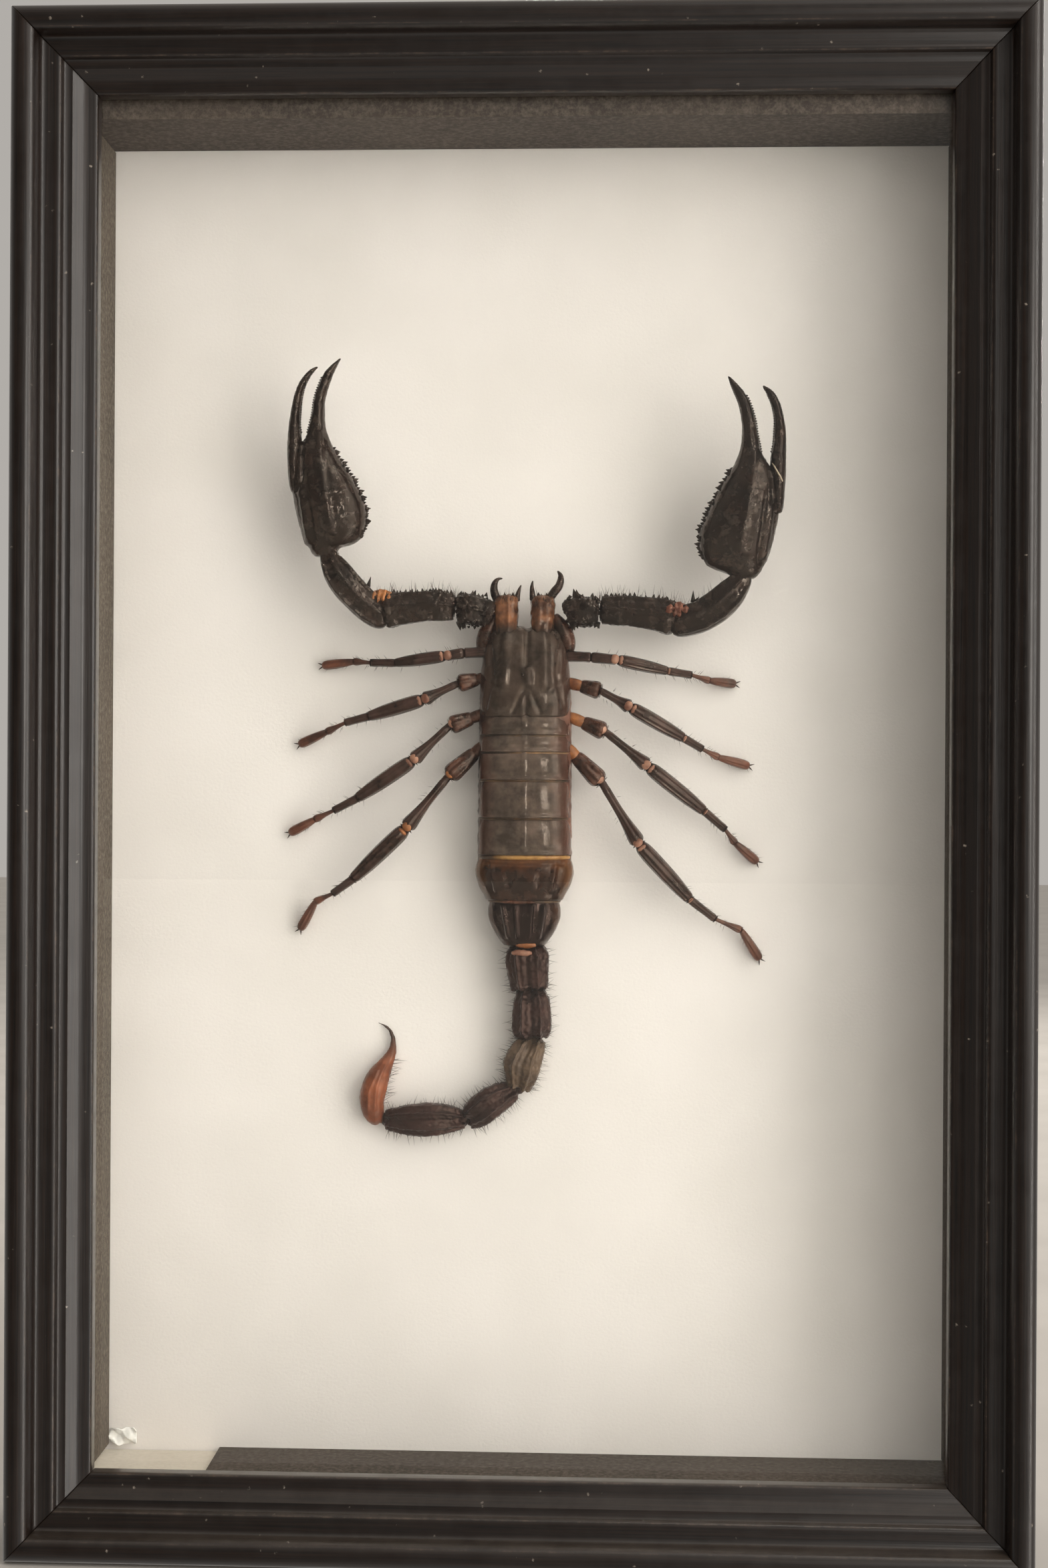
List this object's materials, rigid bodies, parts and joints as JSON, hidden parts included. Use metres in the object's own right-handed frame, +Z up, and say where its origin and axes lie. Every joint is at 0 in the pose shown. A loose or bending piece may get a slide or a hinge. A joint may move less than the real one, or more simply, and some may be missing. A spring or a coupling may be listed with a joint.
{
  "type": "framed scorpion specimen",
  "caption": "Dried dark scorpion with raised pincers and curled tail, glued to a cream card behind glass in a dark moulded wooden shadow-box frame.",
  "frame": {"origin": "middle of the underside of the lower rail", "axes": "+Z up, +X to the right of a viewer in front, the glass faces -Y and the back faces +Y"},
  "size_m": [0.2, 0.044, 0.304],
  "materials": {
    "frame_wood": "dark brown stained wood moulding with a worn satin lacquer",
    "glass": "clear flat picture glass",
    "spacer_board": "pale uncoated board strip",
    "lining": "dark brown dusty strip",
    "card": "matte cream card",
    "hardboard": "plain brown hardboard",
    "steel": "thin zinc plated steel",
    "shell": "dried brown-black shell, granular and half glossy"
  },
  "bodies": {
    "root": {"back_panel": "hardboard", "card": "card", "frame_bottom": "frame_wood", "frame_left": "frame_wood", "frame_right": "frame_wood", "frame_top": "frame_wood", "glass": "glass", "hanger": "steel", "hanger_rivet_left": "steel", "hanger_rivet_right": "steel", "lining_bottom": "lining", "lining_left": "lining", "lining_right": "lining", "lining_top": "lining", "point_bottom_left": "steel", "point_bottom_right": "steel", "point_left_lower": "steel", "point_left_middle": "steel", "point_left_upper": "steel", "point_right_lower": "steel", "point_right_middle": "steel", "point_right_upper": "steel", "point_top_left": "steel", "point_top_right": "steel", "scorpion_body": "shell", "scorpion_leg_left_1": "shell", "scorpion_leg_left_2": "shell", "scorpion_leg_left_3": "shell", "scorpion_leg_left_4": "shell", "scorpion_leg_right_1": "shell", "scorpion_leg_right_2": "shell", "scorpion_leg_right_3": "shell", "scorpion_leg_right_4": "shell", "scorpion_pincer_left": "shell", "scorpion_pincer_right": "shell", "scorpion_tail": "shell", "spacer_bottom": "spacer_board", "spacer_left": "spacer_board", "spacer_right": "spacer_board", "spacer_top": "spacer_board"}
  },
  "joints": []
}
